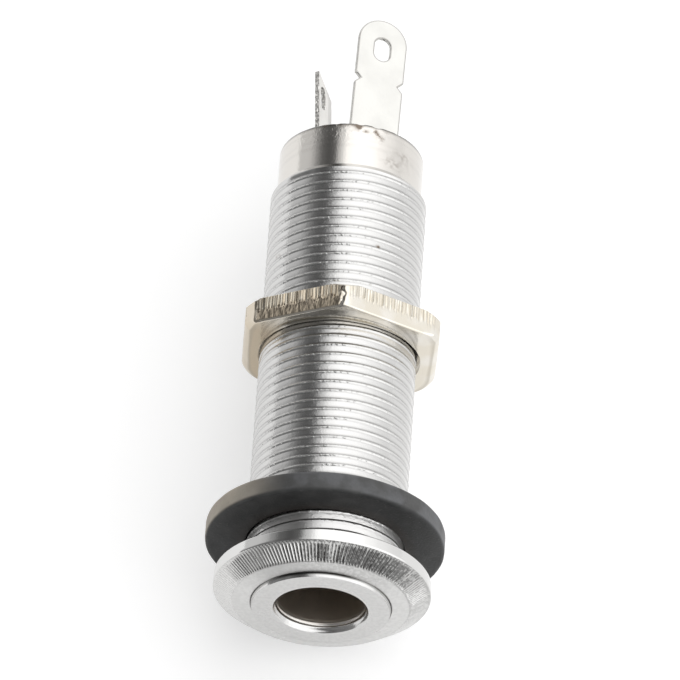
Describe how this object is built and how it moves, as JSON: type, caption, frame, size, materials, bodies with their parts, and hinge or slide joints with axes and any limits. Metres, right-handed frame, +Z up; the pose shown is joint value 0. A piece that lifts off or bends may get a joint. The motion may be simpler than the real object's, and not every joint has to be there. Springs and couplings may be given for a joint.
{
  "type": "panel jack socket",
  "caption": "Long threaded-barrel jack socket with a knurled dress ring, rubber washer, hex nut and solder lugs, clamped through a panel to take a 6.35 mm plug.",
  "frame": {"origin": "on the jack's axis, at the face of the dress ring that meets the panel", "axes": "+Y along the jack's axis towards the solder lugs, so the plug comes out along -Y; +Z up, through the nut's top corner"},
  "size_m": [0.018, 0.0497, 0.018],
  "materials": {
    "nickel_plate": "bright nickel plate on brass",
    "nut_steel": "dull nickel plate on stamped steel",
    "black_rubber": "matte moulded rubber",
    "tinned_brass": "tinned sheet",
    "black_moulding": "dark moulded insulator",
    "liner_sheet": "dark insulating tube"
  },
  "bodies": {
    "jack": {"barrel": "nickel_plate", "dress_ring": "nickel_plate", "rubber_washer": "black_rubber", "liner": "liner_sheet", "contact_carrier": "black_moulding", "sleeve_lug": "tinned_brass", "tip_contact": "tinned_brass"},
    "nut": {"hex_nut": "nut_steel"}
  },
  "joints": [
    {"name": "nut_travel", "type": "slide", "parent": "jack", "child": "nut", "axis": [0, 1, 0], "range_m": [-0.0145, 0.0112]}
  ]
}
